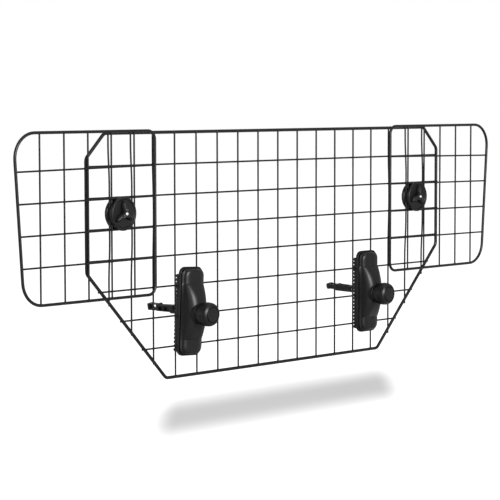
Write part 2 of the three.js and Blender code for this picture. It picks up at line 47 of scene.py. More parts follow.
camera_roll = -0.0017417
focal_pixels = 2019.84
frame_pixels = 500
sensor_width = 36.0
half_pixel = 0.5 / frame_pixels


def linked(name, data):
    """A new object in the scene."""
    item = bpy.data.objects.new(name, data)
    bpy.context.scene.collection.objects.link(item)
    return item


forward = Vector((
    math.sin(camera_yaw) * math.cos(camera_pitch),
    math.cos(camera_yaw) * math.cos(camera_pitch),
    -math.sin(camera_pitch),
))
level = Vector((math.cos(camera_yaw), -math.sin(camera_yaw), 0.0))
upright = level.cross(forward)
across = level * math.cos(camera_roll) + upright * math.sin(camera_roll)
above = upright * math.cos(camera_roll) - level * math.sin(camera_roll)
camera_data = bpy.data.cameras.new("camera")
camera_data.sensor_width = sensor_width
camera_data.lens = focal_pixels / frame_pixels * sensor_width
camera_data.shift_x = -half_pixel
camera_data.shift_y = half_pixel
camera_data.clip_end = 60.0
camera = linked("camera", camera_data)
camera_axes = Matrix((across, above, -forward)).transposed()
camera.matrix_world = Matrix.Translation(camera_place) @ camera_axes.to_4x4()
bpy.context.scene.camera = camera
bpy.context.scene.view_settings.view_transform = "Standard"

# Floor and light
# The guard hangs over a plain white floor with a soft slanted shadow painted into its colour under
# it.
# Soft lamps stand in front, at the left, above and behind, and a pale world fills in.
floor_height = -0.180
floor_reach = 9.0
shade_slant = -1.06
shade_middle = (0.088, -0.045)
shade_core = (0.26, 0.02)
shade_reach = (0.355, 0.245)
shade_depth = 0.55
glow_share = 0.78
glow_strength = 1.27
white = (1.0, 1.0, 1.0, 1.0)
room_strength = 0.35
seen_strength = 1.0
lamp_aim = Vector((0.0, -0.1, 0.0))


def new_node(tree, kind, **settings):
    node = tree.nodes.new(kind)
    for key, value in settings.items():
        setattr(node, key, value)
    return node


def wire_up(tree, *links):
    """Makes the links, each given as (node, its output, node, its input)."""
    for start, output, end, into in links:
        tree.links.new(start.outputs[output], end.inputs[into])


def white_seen_directly(tree, lit, bright, target):
    """Shows bright to the camera, to mirrors and through glass, and lit to everything else."""
    path = new_node(tree, "ShaderNodeLightPath")
    glossy = new_node(tree, "ShaderNodeMath", operation="MAXIMUM")
    seen = new_node(tree, "ShaderNodeMath", operation="MAXIMUM")
    blend = new_node(tree, "ShaderNodeMixShader")
    wire_up(
        tree,
        (path, "Is Glossy Ray", glossy, 0), (path, "Is Transmission Ray", glossy, 1),
        (path, "Is Camera Ray", seen, 0), (glossy, 0, seen, 1), (seen, 0, blend, 0),
        (lit, 0, blend, 1), (bright, 0, blend, 2), (blend, 0, target, "Surface"),
    )


world = bpy.data.worlds.new("pale_room")
world.use_nodes = True
bpy.context.scene.world = world
tree = world.node_tree
lit = tree.nodes["Background"]
bright = new_node(tree, "ShaderNodeBackground")
for sky, strength in ((lit, room_strength), (bright, seen_strength)):
    sky.inputs["Color"].default_value = white
    sky.inputs["Strength"].default_value = strength
white_seen_directly(tree, lit, bright, tree.nodes["World Output"])

floor_mesh = bpy.data.meshes.new("floor")
shape = bmesh.new()
bmesh.ops.create_grid(shape, x_segments=8, y_segments=8, size=floor_reach)
bmesh.ops.translate(shape, verts=shape.verts, vec=(0.0, 0.0, floor_height))
shape.to_mesh(floor_mesh)
shape.free()
floor = linked("floor", floor_mesh)

floor_paint = bpy.data.materials.new("white_floor_painted_shadow")
floor_paint.use_nodes = True
tree = floor_paint.node_tree
tree.nodes.clear()
place = new_node(tree, "ShaderNodeTexCoord")
parts = new_node(tree, "ShaderNodeSeparateXYZ")
slanted = new_node(tree, "ShaderNodeMath", operation="MULTIPLY_ADD")
slanted.inputs[1].default_value = shade_slant
wire_up(
    tree, (place, "Object", parts, "Vector"), (parts, "Y", slanted, 0), (parts, "X", slanted, 2),
)
# Painted shadow: a soft slanted pool under the guard darkens the floor's colour by up to
# shade_depth.
painted_shadow_pool = new_node(tree, "ShaderNodeMath", operation="MULTIPLY")
for index, (along, socket) in enumerate(((slanted, 0), (parts, "Y"))):
    centred = new_node(tree, "ShaderNodeMath", operation="SUBTRACT")
    centred.inputs[1].default_value = shade_middle[index]
    distance = new_node(tree, "ShaderNodeMath", operation="ABSOLUTE")
    fade = new_node(tree, "ShaderNodeMapRange", interpolation_type="SMOOTHSTEP")
    fade.inputs["From Min"].default_value = shade_reach[index]
    fade.inputs["From Max"].default_value = shade_core[index]
    wire_up(
        tree, (along, socket, centred, 0), (centred, 0, distance, 0),
        (distance, 0, fade, "Value"), (fade, "Result", painted_shadow_pool, index),
    )
soften = new_node(tree, "ShaderNodeMath", operation="MULTIPLY_ADD")
soften.inputs[1].default_value = -shade_depth
soften.inputs[2].default_value = 1.0
tint = new_node(tree, "ShaderNodeCombineColor")
matt = new_node(tree, "ShaderNodeBsdfDiffuse")
glow = new_node(tree, "ShaderNodeEmission")
glow.inputs["Strength"].default_value = glow_strength
half = new_node(tree, "ShaderNodeMixShader")
half.inputs[0].default_value = glow_share
output = new_node(tree, "ShaderNodeOutputMaterial")
wire_up(
    tree, (painted_shadow_pool, 0, soften, 0),
    (soften, 0, tint, "Red"), (soften, 0, tint, "Green"), (soften, 0, tint, "Blue"),
    (tint, "Color", matt, "Color"), (tint, "Color", glow, "Color"),
    (matt, 0, half, 1), (glow, 0, half, 2),
)
white_seen_directly(tree, matt, half, output)
floor_mesh.materials.append(floor_paint)


def soft_lamp(name, place, width, height, power):
    """A rectangular lamp that shines at the middle of the guard."""
    lamp = bpy.data.lights.new(name, "AREA")
    lamp.shape = "RECTANGLE"
    lamp.size = width
    lamp.size_y = height
    lamp.energy = power
    towards = (lamp_aim - Vector(place)).to_track_quat("-Z", "Y")
    linked(name, lamp).matrix_world = Matrix.Translation(place) @ towards.to_matrix().to_4x4()


soft_lamp("front_lamp", (-0.7, -3.3, 1.05), 0.95, 1.15, 410.0)
soft_lamp("left_lamp", (-3.0, -1.9, 1.1), 1.4, 1.4, 34.0)
soft_lamp("top_lamp", (0.3, -0.5, 2.6), 1.8, 1.6, 22.0)
soft_lamp("back_lamp", (-2.4, 1.9, 0.5), 1.2, 1.2, 18.0)

# Rods
# The rims of the three panels are steel rod, 5 to 5.6 mm thick with their coating. They
# are bent round at the corners, welded shut, and coated satin black with their mesh.
side_rod_radius = 2.5
main_rod_radius = 2.8
rod_sides = 20
bend_steps = 10
main_bend = 12.0
side_bends = [39.0, 39.0, 15.0, 15.0]
coat_colour = (0.0018, 0.0018, 0.0019, 1.0)
dust_colour = (0.11, 0.11, 0.11, 1.0)
dust_from = 0.64
dust_full = 0.78
grain_detail = 3.0
drift_detail = 4.0
drift_scale = 34.0
noise_middle = 0.5
bump_strength = 0.6
merge_distance = 2e-6


def new_tree(name, kind, inputs, outputs):
    """A node group with these sockets, the keys of its inputs, and its two end nodes."""
    tree = bpy.data.node_groups.new(name, kind)
    keys = {}
    for label, sort in inputs.items():
        socket = tree.interface.new_socket(label, in_out="INPUT", socket_type="NodeSocket" + sort)
        keys[label] = socket.identifier
    for label, sort in outputs.items():
        tree.interface.new_socket(label, in_out="OUTPUT", socket_type="NodeSocket" + sort)
    return tree, keys, new_node(tree, "NodeGroupInput"), new_node(tree, "NodeGroupOutput")


def surface_group(name, fine_stretch):
    """Colour drift, fine grain and dust over a surface, read in metres on the object itself."""
    inputs = {
        "Colour": "Color", "Drift": "Float", "Grain Size": "Float",
        "Roughness": "Float", "Roughness Spread": "Float", "Dust": "Float",
    }
    outputs = {"Colour": "Color", "Roughness": "Float", "Height": "Float"}
    group, _, entry, leave = new_tree(name, "ShaderNodeTree", inputs, outputs)
    place = new_node(group, "ShaderNodeTexCoord")
    stretch = new_node(group, "ShaderNodeMapping")
    stretch.inputs["Scale"].default_value = fine_stretch
    grain = new_node(group, "ShaderNodeTexNoise")
    grain.inputs["Detail"].default_value = grain_detail
    drift = new_node(group, "ShaderNodeTexNoise")
    drift.inputs["Scale"].default_value = drift_scale
    drift.inputs["Detail"].default_value = drift_detail
    per_metre = new_node(group, "ShaderNodeMath", operation="DIVIDE")
    per_metre.inputs[0].default_value = 1.0
    drift_centred = new_node(group, "ShaderNodeMath", operation="SUBTRACT")
    drift_centred.inputs[1].default_value = noise_middle
    amount = new_node(group, "ShaderNodeMath", operation="MULTIPLY_ADD")
    amount.inputs[2].default_value = 1.0
    shaded = new_node(group, "ShaderNodeVectorMath", operation="SCALE")
    specks = new_node(group, "ShaderNodeMapRange")
    specks.inputs["From Min"].default_value = dust_from
    specks.inputs["From Max"].default_value = dust_full
    dust = new_node(group, "ShaderNodeMath", operation="MULTIPLY")
    dusty = new_node(group, "ShaderNodeMix", data_type="RGBA")
    clean, dirty = [socket for socket in dusty.inputs if socket.type == "RGBA"]
    mixed = [socket for socket in dusty.outputs if socket.type == "RGBA"][0]
    dirty.default_value = dust_colour
    grain_centred = new_node(group, "ShaderNodeMath", operation="SUBTRACT")
    grain_centred.inputs[1].default_value = noise_middle
    rough = new_node(group, "ShaderNodeMath", operation="MULTIPLY_ADD")
    wire_up(
        group,
        (entry, "Grain Size", per_metre, 1), (per_metre, 0, grain, "Scale"),
        (place, "Object", stretch, "Vector"), (stretch, "Vector", grain, "Vector"),
        (place, "Object", drift, "Vector"), (drift, "Fac", drift_centred, 0),
        (drift_centred, 0, amount, 0), (entry, "Drift", amount, 1),
        (entry, "Colour", shaded, 0), (amount, 0, shaded, "Scale"),
        (grain, "Fac", specks, "Value"), (specks, "Result", dust, 0),
        (entry, "Dust", dust, 1), (dust, 0, dusty, "Factor"),
        (grain, "Fac", grain_centred, 0), (grain_centred, 0, rough, 0),
        (entry, "Roughness Spread", rough, 1), (entry, "Roughness", rough, 2),
        (rough, 0, leave, "Roughness"), (grain, "Fac", leave, "Height"),
    )
    group.links.new(shaded.outputs["Vector"], clean)
    group.links.new(mixed, leave.inputs["Colour"])
    return group


def finish(name, group, look, grain_depth, metallic=0.0, specular=0.5):
    """A material around one surface group, which takes the values of its look."""
    material = bpy.data.materials.new(name)
    material.use_nodes = True
    tree = material.node_tree
    shader = tree.nodes["Principled BSDF"]
    shader.inputs["Metallic"].default_value = metallic
    shader.inputs["Specular IOR Level"].default_value = specular
    surface = new_node(tree, "ShaderNodeGroup", node_tree=group)
    for label, value in look.items():
        surface.inputs[label].default_value = value
    bump = new_node(tree, "ShaderNodeBump")
    bump.inputs["Distance"].default_value = grain_depth
    bump.inputs["Strength"].default_value = bump_strength
    wire_up(
        tree,
        (surface, "Colour", shader, "Base Color"), (surface, "Roughness", shader, "Roughness"),
        (surface, "Height", bump, "Height"), (bump, "Normal", shader, "Normal"),
    )
    return material


even_grain = surface_group("even_grain", (1.0, 1.0, 1.0))
coat_look = {
    "Colour": coat_colour, "Drift": 0.4, "Grain Size": 0.0011,
    "Roughness": 0.34, "Roughness Spread": 0.1, "Dust": 0.01,
}
satin_coating = finish("satin_black_coating", even_grain, coat_look, 0.00003, specular=0.12)


def end_painted(tree, made, output, entry, leave):
    """Ends a tree with real faces, in the finish that is given from outside."""
    whole = new_node(tree, "GeometryNodeRealizeInstances")
    paint = new_node(tree, "GeometryNodeSetMaterial")
    wire_up(
        tree,
        (made, output, whole, "Geometry"), (whole, "Geometry", paint, "Geometry"),
        (entry, "Finish", paint, "Material"), (paint, "Geometry", leave, "Geometry"),
    )


def bent_bar_tree():
    """A round bar along a line of points, filleted at each corner by its own bend radius."""
    inputs = {
        "Geometry": "Geometry", "Radius": "Float", "Sides": "Int", "Bend Steps": "Int",
        "Finish": "Material",
    }
    tree, keys, entry, leave = new_tree(
        "bent_bar", "GeometryNodeTree", inputs, {"Geometry": "Geometry"},
    )
    line = new_node(tree, "GeometryNodeMeshToCurve")
    bend = new_node(tree, "GeometryNodeInputNamedAttribute", data_type="FLOAT")
    bend.inputs["Name"].default_value = "bend"
    fillet = new_node(tree, "GeometryNodeFilletCurve", mode="POLY")
    fillet.inputs["Limit Radius"].default_value = True
    ring = new_node(tree, "GeometryNodeCurvePrimitiveCircle")
    bar = new_node(tree, "GeometryNodeCurveToMesh")
    bar.inputs["Fill Caps"].default_value = True
    tree.links.new([s for s in bend.outputs if s.enabled][0], fillet.inputs["Radius"])
    wire_up(
        tree,
        (entry, "Geometry", line, "Mesh"), (line, "Curve", fillet, "Curve"),
        (entry, "Bend Steps", fillet, "Count"), (entry, "Sides", ring, "Resolution"),
        (entry, "Radius", ring, "Radius"), (fillet, "Curve", bar, "Curve"),
        (ring, "Curve", bar, "Profile Curve"),
    )
    end_painted(tree, bar, "Mesh", entry, leave)
    return tree, keys


def cleaned(mesh):
    """Merges doubles, drops edges without a face, and turns the faces outwards."""
    shape = bmesh.new()
    shape.from_mesh(mesh)
    bmesh.ops.remove_doubles(shape, verts=shape.verts, dist=merge_distance)
    loose = [edge for edge in shape.edges if not edge.link_faces]
    bmesh.ops.delete(shape, geom=loose, context="EDGES")
    bmesh.ops.recalc_face_normals(shape, faces=shape.faces)
    shape.to_mesh(mesh)
    shape.free()
    return mesh


def shown(name, mesh, crease, surface=None):
    """Shades a mesh smooth up to the crease angle, gives it its finish, and links the piece."""
    mesh.name = name
    mesh.shade_smooth()
    mesh.set_sharp_from_angle(angle=math.radians(crease))
    if surface:
        mesh.materials.clear()
        mesh.materials.append(surface)
    return linked(name, mesh)


def plain_mesh(source):
    """The plain mesh that an object's modifier makes. The object itself is removed."""
    depsgraph = bpy.context.evaluated_depsgraph_get()
    mesh = bpy.data.meshes.new_from_object(source.evaluated_get(depsgraph))
    source.modifiers.clear()
    bpy.data.objects.remove(source)
    return mesh


def baked(name, start, tree, keys, values, crease=40.0):
    """Runs a node tree on a starting mesh and keeps the plain mesh that comes out."""
    source = linked(name + "_source", start)
    modifier = source.modifiers.new("make", "NODES")
    modifier.node_group = tree
    for label, value in values.items():
        modifier[keys[label]] = value
    return shown(name, cleaned(plain_mesh(source)), crease)


def lines_mesh(name, lines, bends=None, closed=False):
    """Edges through the given points, in millimetres, with each point's bend radius."""
    mesh = bpy.data.meshes.new(name)
    points = []
    edges = []
    radii = []
    for line in lines:
        first = len(points)
        points += [Vector(p) * mm for p in line]
        radii += [b * mm for b in bends] if bends else [0.0] * len(line)
        edges += [(first + i, first + i + 1) for i in range(len(line) - 1)]
        if closed:
            edges.append((first + len(line) - 1, first))
    mesh.from_pydata(points, edges, [])
    mesh.attributes.new("bend", "FLOAT", "POINT").data.foreach_set("value", radii)
    return mesh


def placed(piece, body, slot, *replaced):
    """Gives a piece its body and hides the CAD nodes that it stands for. slot is not used."""
    if replaced:
        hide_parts(*replaced)
    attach(piece, body)


bar_tree, bar_keys = bent_bar_tree()


def rim(name, node, body, corners, bends, radius):
    """One closed rim through its corners."""
    start = lines_mesh(name, [corners], bends, closed=True)
    values = {
        "Radius": radius * mm, "Sides": rod_sides, "Bend Steps": bend_steps,
        "Finish": satin_coating,
    }
    placed(baked(name, start, bar_tree, bar_keys, values), body, "black_coating", node)


main_plane = -68.5
main_half_width = 443.4
main_top = 297.0
main_bottom = -106.2
bottom_run_end = 270.4
top_run_end = 404.4
chamfer_low = 76.0
chamfer_high = 258.0
right_corners = [
    (bottom_run_end, main_plane, main_bottom), (main_half_width, main_plane, chamfer_low),
    (main_half_width, main_plane, chamfer_high), (top_run_end, main_plane, main_top),
]
left_corners = [(-x, y, z) for x, y, z in reversed(right_corners)]
main_corners = right_corners + left_corners
main_bends = [main_bend] * len(main_corners)
rim("main_rim", "main_frame", "root", main_corners, main_bends, main_rod_radius)

side_plane = -75.0
side_inner = 299.5
side_outer_top = 596.2
side_outer_bottom = 577.8
side_top = 300.0
side_bottom = 34.4
side_names = (("left", -1), ("right", 1))
for name, side in side_names:
    corners = [
        (side * side_outer_bottom, side_plane, side_bottom),
        (side * side_outer_top, side_plane, side_top),
        (side * side_inner, side_plane, side_top),
        (side * side_inner, side_plane, side_bottom),
    ]
    node = name + "_side_frame"
    rim(name + "_side_rim", node, name + "_panel", corners, side_bends, side_rod_radius)

# Wire meshes
# Two layers of wire, 3 mm thick with their coating, are welded where they cross and where
# they meet the rods. Each clamp draws the main mesh forward a little to the side mesh.
wire_radius = 1.5
wire_sides = 12
upright_steps = 24
level_steps = 48
bead_size = (1.85, 1.6, 1.85)
bead_clear = 3.0
bead_clear_share = 0.01
main_upright_y = main_plane - 1.7
main_level_y = main_plane - 0.2
mesh_pitch = 50.0
columns_each_side = 8
even_columns = 6
rows_each_way = 3
outer_pitch_cut = 1.2
middle_level = 95.0
wire_past = 1.5
upright_past_chamfer = 6.0
level_past_chamfer = 5.5
side_layer_gap = 0.75
side_columns = 5
side_rows = 4
side_outer_wire = 543.5
side_pitches = {"left": 49.7, "right": 47.8}
side_outer_level = 92.6
side_outer_pitch = 49.4
side_inner_level = 94.2
side_inner_pitch = 50.1
clamp_x = 373.5
clamp_z = 169.0
bow_depth = 2.4
bow_reach = 112.0
bow_rise = 62.0
wire_look = {
    "Colour": coat_colour, "Drift": 0.4, "Grain Size": 0.0008,
    "Roughness": 0.40, "Roughness Spread": 0.1, "Dust": 0.01,
}
wire_coating = finish("satin_black_wire", even_grain, wire_look, 0.00002, specular=0.09)


def bead_tree():
    """A small flattened bead on every point, its size in millimetres given from outside."""
    inputs = {"Geometry": "Geometry", "Size": "Vector", "Finish": "Material"}
    tree, keys, entry, leave = new_tree(
        "weld_beads", "GeometryNodeTree", inputs, {"Geometry": "Geometry"},
    )
    bead = new_node(tree, "GeometryNodeMeshIcoSphere")
    bead.inputs["Radius"].default_value = mm
    bead.inputs["Subdivisions"].default_value = 2
    spread = new_node(tree, "GeometryNodeInstanceOnPoints")
    wire_up(
        tree,
        (entry, "Geometry", spread, "Points"), (bead, "Mesh", spread, "Instance"),
        (entry, "Size", spread, "Scale"),
    )
    end_painted(tree, spread, "Instances", entry, leave)
    return tree, keys


beads_tree, bead_keys = bead_tree()


def sloped(place, near, far, near_value, far_value):
    """A value that runs from one to the other as a place goes from near to far."""
    share = min(max((abs(place) - near) / (far - near), 0.0), 1.0)
    return near_value + (far_value - near_value) * share


def eased(share):
    """A smooth rise from 0 to 1, level before and after."""
    share = min(max(share, 0.0), 1.0)
    return share * share * (3 - 2 * share)


def drawn_forward(x, z):
    """How far forward the nearer clamp draws a wire of the main mesh, in millimetres."""
    distance = math.hypot(abs(x) - clamp_x, z - clamp_z)
    return bow_depth * eased((bow_reach - distance) / bow_rise)


def stretched(start, end, steps):
    """Evenly spaced points from start to end."""
    return [tuple(a + (b - a) * i / steps for a, b in zip(start, end)) for i in range(steps + 1)]


def wire_panel(name, node, body, uprights, levels, upright_y, level_y, bowed=False):
    """uprights are (x, bottom, top), levels two ends (z, x); beads go where they cross."""
    lines = [
        stretched((x, upright_y, low), (x, upright_y, high), upright_steps)
        for x, low, high in uprights
    ]
    lines += [
        stretched((start_x, level_y, start_z), (end_x, level_y, end_z), level_steps)
        for (start_z, start_x), (end_z, end_x) in levels
    ]
    if bowed:
        lines = [[(x, y - drawn_forward(x, z), z) for x, y, z in line] for line in lines]
    values = {
        "Radius": wire_radius * mm, "Sides": wire_sides, "Bend Steps": 1, "Finish": wire_coating,
    }
    wires = baked(name, lines_mesh(name, lines), bar_tree, bar_keys, values)
    crossings = []
    for x, low, high in uprights:
        for (start_z, start_x), (end_z, end_x) in levels:
            share = (x - start_x) / (end_x - start_x)
            z = start_z + (end_z - start_z) * share
            within_level = bead_clear_share < share < 1 - bead_clear_share
            if within_level and low + bead_clear < z < high - bead_clear:
                bow = drawn_forward(x, z) if bowed else 0.0
                crossings.append([(x, (upright_y + level_y) / 2 - bow, z)])
    values = {"Size": bead_size, "Finish": wire_coating}
    beads = baked(name + "_beads", lines_mesh(name, crossings), beads_tree, bead_keys, values)
    placed(wires, body, "black_coating", node)
    placed(beads, body, "black_coating")


uprights = []
for column in range(-columns_each_side, columns_each_side + 1):
    inward = max(abs(column) - even_columns, 0) * outer_pitch_cut
    x = column * mesh_pitch - math.copysign(inward, column)
    low = sloped(x, bottom_run_end, main_half_width, main_bottom, chamfer_low)
    high = sloped(x, top_run_end, main_half_width, main_top, chamfer_high)
    past = upright_past_chamfer if abs(x) > bottom_run_end else wire_past
    uprights.append((x, low - past, high + wire_past))
levels = []
for row in range(-rows_each_way, rows_each_way + 1):
    z = row * mesh_pitch + middle_level
    below = max(chamfer_low - z, 0.0)
    half = sloped(below, 0, chamfer_low - main_bottom, main_half_width, bottom_run_end)
    past = level_past_chamfer if below else wire_past
    levels.append(((z, -half - past), (z, half + past)))
wire_panel(
    "main_wires", "main_mesh", "root", uprights, levels, main_upright_y, main_level_y, True,
)

for name, side in side_names:
    uprights = []
    for column in range(side_columns):
        x = side * (side_outer_wire - column * side_pitches[name])
        uprights.append((x, side_bottom - wire_past, side_top + wire_past))
    levels = []
    for row in range(side_rows):
        z = side_outer_level + row * side_outer_pitch
        outer = sloped(z, side_bottom, side_top, side_outer_bottom, side_outer_top)
        inner_end = (side_inner_level + row * side_inner_pitch, side * (side_inner - wire_past))
        levels.append((inner_end, (z, side * (outer + wire_past))))
    wire_panel(
        name + "_side_wires", name + "_side_mesh", name + "_panel", uprights, levels,
        side_plane + side_layer_gap, side_plane - side_layer_gap,
    )

# Disc clamps
# Moulded discs squeeze the side panel to the main panel on an M6 bolt. The front disc is
# dished, and a three-lobed grip with a nut in its hub turns in the dish.
plastic_colour = (0.0020, 0.0020, 0.0021, 1.0)
plastic_look = {
    "Colour": plastic_colour, "Drift": 0.5, "Grain Size": 0.0006,
    "Roughness": 0.39, "Roughness Spread": 0.12, "Dust": 0.03,
}
moulded_plastic = finish(
    "moulded_black_plastic", even_grain, plastic_look, 0.00004, specular=0.105,
)
fillet_steps = 5
fillet_share = 0.48
disc_sides = 96
rear_face = -1.2
rear_bore = 5.9
rear_radius = 27.3
rear_depth = 9.9
front_face = -8.55
front_bore = 3.5
front_radius = 27.6
dish_face = front_face - 2.9
rear_profile = [
    (rear_bore, rear_face + 3.0, 0), (rear_bore, rear_face, 0.3), (25.6, rear_face, 0.3),
    (rear_radius, rear_face + 1.0, 0.6), (rear_radius, rear_face + 4.6, 1.2),
    (25.4, rear_face + 7.2, 2.0), (21.0, rear_face + 9.2, 3.0),
    (13.8, rear_face + rear_depth, 3.0), (rear_bore, rear_face + rear_depth, 0.5),
]
front_profile = [
    (front_bore, front_face, 0.3), (front_radius, front_face, 0.4),
    (front_radius, front_face - 2.8, 1.4), (25.6, front_face - 5.3, 1.6),
    (23.4, front_face - 4.7, 0.8), (22.2, dish_face, 1.2), (front_bore, dish_face, 0.3),
]
grip_back = -11.75
grip_sides = 120
lobe_count = 3
hub_radius = 7.6
hub_depth = 8.9
lobe_radius = 21.0
lobe_end = 22.0
lobe_depth = 4.6
grip_layers = (
    (0.0, 0.2, 2.0), (0.08, 0.0, 2.0), (0.35, 0.1, 2.6), (0.6, 0.4, 3.8), (0.78, 0.8, 6.0),
    (0.9, 1.3, 11.0), (1.0, 2.0, 26.0),
)
hub_hole = ((3.6, 0.0), (3.3, 0.3), (3.3, 4.0))
grip_turns = {"left": 4.0, "right": -8.0}


def filleted(points):
    """Rounds each corner of a closed outline of (radius, place along, fillet radius)."""
    result = []
    for index, (r, y, fillet) in enumerate(points):
        here = Vector((r, y))
        if fillet <= 0:
            result.append(here)
            continue
        before = Vector(points[index - 1][:2]) - here
        after = Vector(points[(index + 1) % len(points)][:2]) - here
        reach = fillet / math.tan(before.angle(after) / 2)
        reach = min(reach, before.length * fillet_share, after.length * fillet_share)
        start = here + before.normalized() * reach
        end = here + after.normalized() * reach
        for step in range(fillet_steps + 1):
            t = step / fillet_steps
            result.append(start * (1 - t) ** 2 + here * 2 * t * (1 - t) + end * t ** 2)
    return result


def circle(sides):
    """The angles of this many even steps around."""
    return [step / sides * math.tau for step in range(sides)]


def around(radius, y, angle):
    """The point at a radius and an angle about the local Y axis."""
    return Vector((math.cos(angle) * radius, y, math.sin(angle) * radius))


def ring_mesh(name, rings, hollow=False):
    """Faces from ring to ring, in millimetres. hollow joins the last to the first, uncapped."""
    points = [p * mm for ring in rings for p in ring]
    count = len(rings[0])
    faces = []
    for row in range(len(rings) if hollow else len(rings) - 1):
        below = (row + 1) % len(rings)
        for i in range(count):
            j = (i + 1) % count
            faces.append((row * count + i, row * count + j, below * count + j, below * count + i))
    if not hollow:
        faces.append(tuple(range(count)))
        faces.append(tuple(range(len(points) - count, len(points))))
    mesh = bpy.data.meshes.new(name)
    mesh.from_pydata(points, [], faces)
    return cleaned(mesh)


def turned(name, profile, place, sides, surface, shaped=None, turn=Matrix.Identity(3), crease=35.0):
    """Spins a closed outline about the local Y axis. shaped may change a radius by its angle."""
    outline = filleted(profile)
    rings = []
    for angle in circle(sides):
        ring = []
        for r, y in outline:
            radius = shaped(r, y, angle) if shaped else r
            ring.append(turn @ around(radius, y, angle) + place)
        rings.append(ring)
    return shown(name, ring_mesh(name, rings, hollow=True), crease, surface)


def lobed_grip(name, place, turn):
    """The grip: rings of one three-lobed outline, drawn in and rounded over to the front.

    A layer is (share of the depth, how far it is drawn in, how slim its lobes are).
    """
    start = math.pi / 2 + math.radians(turn)
    rings = []
    for share, inset, power in grip_layers:
        ring = []
        for angle in circle(grip_sides):
            rise = ((1 + math.cos(lobe_count * angle)) / 2) ** power
            radius = hub_radius + (lobe_radius - hub_radius) * rise
            depth = sloped(radius, hub_radius, lobe_end, hub_depth, lobe_depth)
            ring.append(around(radius - inset, grip_back - depth * share, angle + start) + place)
        rings.append(ring)
    for radius, sink in hub_hole:
        y = grip_back - hub_depth + sink
        rings.append([around(radius, y, angle + start) + place for angle in circle(grip_sides)])
    return shown(name, ring_mesh(name, rings), crease=50.0, surface=moulded_plastic)


clamp_places = {name: Vector((side * clamp_x, main_plane, clamp_z)) for name, side in side_names}
for name, place in clamp_places.items():
    rear = turned(name + "_rear_clamp_disc", rear_profile, place, disc_sides, moulded_plastic)
    placed(rear, "root", "black_plastic", name + "_clamp_rear_disc")
    front = turned(name + "_front_clamp_disc", front_profile, place, disc_sides, moulded_plastic)
    placed(front, name + "_clamp_disc", "black_plastic", name + "_clamp_front_disc")
    grip = lobed_grip(name + "_lobed_grip", place, grip_turns[name])
    placed(grip, name + "_clamp_knob", "black_plastic", name + "_clamp_grip")

# Zinc plated fastenings
# Bolts, nuts, studs and the screws of the jaw plates are bright zinc plated steel.
# The studs and bolts carry a rolled M6 thread of 1 mm pitch along their whole length.
thread_radius = 3.0
thread_pitch = 1.0
thread_cut = 0.45
thread_sides = 20
rows_per_turn = 5
end_chamfer = 0.9
bolt_run = (-20.3, 4.4)
bolt_head_front = 4.5
bolt_head_back = 8.5
bolt_flats = 10.0
bolt_head_sides = 48
corner_drop = 0.7
corner_share = 0.97
zinc_look = {
    "Colour": (0.62, 0.63, 0.64, 1.0), "Drift": 0.25, "Grain Size": 0.0007,
    "Roughness": 0.30, "Roughness Spread": 0.25, "Dust": 0.0,
}
drawn_grain = surface_group("drawn_grain", (1.0, 0.12, 1.0))
zinc_plate = finish("zinc_plated_steel", drawn_grain, zinc_look, 0.00002, metallic=1.0)
for node_name, node in nodes.items():
    if node_name.endswith(("_nut", "_screw")):
        node.data.materials.clear()
        node.data.materials.append(zinc_plate)


def threaded_rod(name, start, end, place, turn=Matrix.Identity(3)):
    """A screw thread from start to end along the local Y axis, with chamfered ends."""
    rows = int((end - start) / thread_pitch * rows_per_turn)
    rings = []
    for row in range(rows + 1):
        y = start + (end - start) * row / rows
        chamfer = max(end_chamfer - min(y - start, end - y), 0.0)
        ring = []
        for angle in circle(thread_sides):
            phase = (y / thread_pitch - angle / math.tau) % 1.0
            cut = thread_cut * (1 - abs(2 * phase - 1))
            ring.append(turn @ around(thread_radius - max(cut, chamfer), y, angle) + place)
        rings.append(ring)
    return shown(name, ring_mesh(name, rings), crease=30.0, surface=zinc_plate)


def hexagon_head(name, place):
    """A bolt head with its corners turned off at the back."""
    rings = []
    sixth = math.tau / 6
    for y in (bolt_head_front, bolt_head_back - corner_drop):
        ring = []
        for angle in circle(bolt_head_sides):
            from_flat = (angle + sixth / 2) % sixth - sixth / 2
            ring.append(around(bolt_flats / 2 / math.cos(from_flat), y, angle) + place)
        rings.append(ring)
    radius = bolt_flats / 2 * corner_share
    rings.append([around(radius, bolt_head_back, a) + place for a in circle(bolt_head_sides)])
    return shown(name, ring_mesh(name, rings), crease=25.0, surface=zinc_plate)


for name, place in clamp_places.items():
    thread = threaded_rod(name + "_bolt_thread", *bolt_run, place)
    placed(thread, "root", "zinc_steel", name + "_clamp_bolt")
    placed(hexagon_head(name + "_bolt_head", place), "root", "zinc_steel")

# Jaw plates
# Each bracket bites the wires with two rows of teeth along the sides of a moulded plate
# with round corners and softened edges. Two screws join the plate to its housing.
left_lean = Matrix.Rotation(math.radians(3.0), 4, "Y")
bracket_places = {
    "left": Matrix.Translation((-227.1, main_plane, -0.7)) @ left_lean,
    "right": Matrix.Translation((225.5, main_plane, 0.7)),
}
jaw_rise = 2.4
tooth_root = -9.0
jaw_front = tooth_root - 5.6
jaw_half = (26.0, 73.5)
jaw_corner = 12.0
jaw_bore = 7.0
channel_floor = jaw_front + 2.4
jaw_rims = (
    (tooth_root, 1.2), (tooth_root - 0.35, 0.35), (tooth_root - 1.2, 0.0),
    (jaw_front + 1.0, 0.0), (jaw_front + 0.3, 0.3), (jaw_front, 0.8), (jaw_front, 1.3),
    (channel_floor, 1.6),
)
tooth_half = 1.6
tooth_side = [
    (-0.1, -0.1), (-0.1, 6.5), (3.0, 6.38), (5.5, 4.7), (6.0, 4.1), (6.0, 2.3), (5.5, 1.7),
    (3.0, 0.02),
]
tooth_count = 20
tooth_pitch = 6.4
tooth_rows = (("left", -24.4), ("right", 24.4))
first_tooth = -64.0
corner_steps = 10
screw_heights = (("lower", -53.0), ("upper", 53.0))
screw_top = tooth_root + 0.9
screw_sides = 64
recess_floor = tooth_root - 1.2
